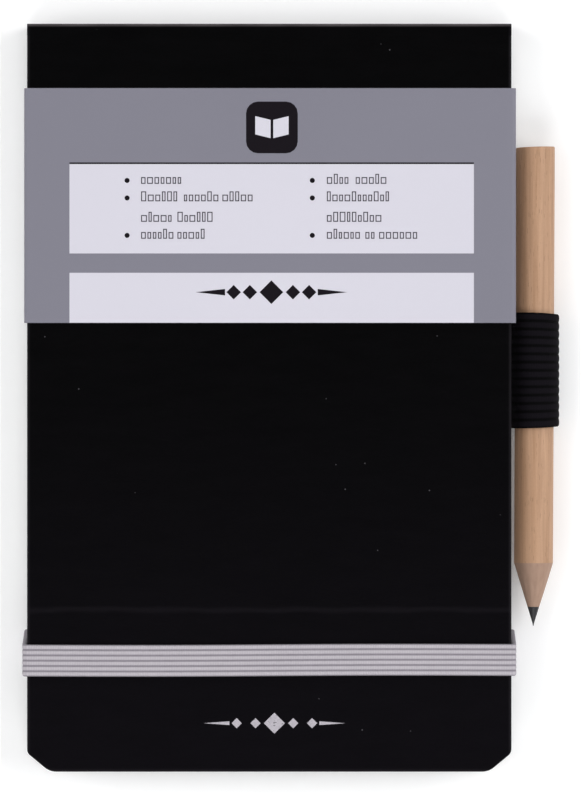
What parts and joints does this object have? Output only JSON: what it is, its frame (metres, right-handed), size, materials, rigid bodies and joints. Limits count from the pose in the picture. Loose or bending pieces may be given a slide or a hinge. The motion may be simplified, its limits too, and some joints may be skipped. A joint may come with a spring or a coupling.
{
  "type": "pocket notebook",
  "caption": "Hard-cover pocket notebook opening at its head, with an elastic closing strap, a pencil in an elastic side loop and a card sleeve round the front cover.",
  "frame": {"origin": "centre of the back cover's outer face, which the book lies on", "axes": "+Z out of the shut front cover, +Y towards the spine, +X towards the pencil"},
  "size_m": [0.1, 0.139, 0.0133],
  "materials": {
    "covering_cloth": "near-black leatherette, fine grain, matt",
    "greyboard": "grey pressed board",
    "endpaper": "smooth white endpaper",
    "page_paper": "uncoated white writing paper, feint ruled",
    "mull_cloth": "open cotton mull",
    "thread": "waxed linen thread",
    "spine_glue": "dried white glue",
    "strap_elastic": "light grey ribbed elastic",
    "loop_elastic": "black ribbed elastic",
    "pencil_wood": "bare, lightly oiled wood",
    "graphite": "fired graphite and clay, dull sheen",
    "sleeve_card": "uncoated grey printed card",
    "silver_foil": "hot-pressed silver foil"
  },
  "bodies": {
    "back_cover": {"back_board": "greyboard", "spine_board": "greyboard", "back_and_spine_cloth": "covering_cloth", "back_pastedown": "endpaper", "back_flyleaf": "endpaper", "spine_mull": "mull_cloth", "spine_adhesive": "spine_glue", "sewing_thread": "thread", "pencil_loop": "loop_elastic", "strap_ends": "strap_elastic", "section_05": "page_paper", "section_06": "page_paper", "section_07": "page_paper", "section_08": "page_paper", "section_09": "page_paper", "section_10": "page_paper"},
    "front_cover": {"front_board": "greyboard", "front_cover_cloth": "covering_cloth", "front_pastedown": "endpaper", "cover_foil": "silver_foil"},
    "front_flyleaf": {"front_flyleaf": "endpaper"},
    "section_01": {"section_01": "page_paper"},
    "section_02": {"section_02": "page_paper"},
    "section_03": {"section_03": "page_paper"},
    "section_04": {"section_04": "page_paper"},
    "paper_sleeve": {"paper_sleeve": "sleeve_card"},
    "elastic_strap": {"elastic_strap": "strap_elastic"},
    "pencil": {"pencil_lead": "graphite", "pencil_upper_slat": "pencil_wood", "pencil_lower_slat": "pencil_wood"}
  },
  "joints": [
    {"name": "front_cover_hinge", "type": "hinge", "parent": "back_cover", "child": "front_cover", "pos_m": [0, 0.0695, 0.01238], "axis": [-1, 0, 0], "range_deg": [0, 178]},
    {"name": "front_flyleaf_turn", "type": "hinge", "parent": "back_cover", "child": "front_flyleaf", "pos_m": [0, 0.0673, 0.00974], "axis": [-1, 0, 0], "range_deg": [0, 165.9], "deforming": ["front_flyleaf"]},
    {"name": "section_01_turn", "type": "hinge", "parent": "back_cover", "child": "section_01", "pos_m": [0, 0.0673, 0.00936], "axis": [-1, 0, 0], "range_deg": [0, 162], "deforming": ["section_01"]},
    {"name": "section_02_turn", "type": "hinge", "parent": "back_cover", "child": "section_02", "pos_m": [0, 0.0673, 0.0086], "axis": [-1, 0, 0], "range_deg": [0, 158.1], "deforming": ["section_02"]},
    {"name": "section_03_turn", "type": "hinge", "parent": "back_cover", "child": "section_03", "pos_m": [0, 0.0673, 0.00784], "axis": [-1, 0, 0], "range_deg": [0, 154], "deforming": ["section_03"]},
    {"name": "section_04_turn", "type": "hinge", "parent": "back_cover", "child": "section_04", "pos_m": [0, 0.0673, 0.00708], "axis": [-1, 0, 0], "range_deg": [0, 150.1], "deforming": ["section_04"]},
    {"name": "strap_release", "type": "hinge", "parent": "back_cover", "child": "elastic_strap", "pos_m": [0, -0.04635, 0.0012], "axis": [1, 0, 0], "range_deg": [0, 179.8], "deforming": ["elastic_strap"]},
    {"name": "sleeve_slide", "type": "slide", "parent": "front_cover", "child": "paper_sleeve", "axis": [0, -1, 0], "range_m": [0, 0.128]},
    {"name": "pencil_slide", "type": "slide", "parent": "back_cover", "child": "pencil", "axis": [0.0045, 1, 0], "range_m": [0, 0.062]}
  ],
  "couplings": [
    {"joint": "front_flyleaf_turn", "follows": "front_cover_hinge", "ratio": 0.932},
    {"joint": "section_01_turn", "follows": "front_cover_hinge", "ratio": 0.91},
    {"joint": "section_02_turn", "follows": "front_cover_hinge", "ratio": 0.888},
    {"joint": "section_03_turn", "follows": "front_cover_hinge", "ratio": 0.865},
    {"joint": "section_04_turn", "follows": "front_cover_hinge", "ratio": 0.843},
    {"joint": "strap_release", "follows": "front_cover_hinge", "ratio": 1.01}
  ]
}
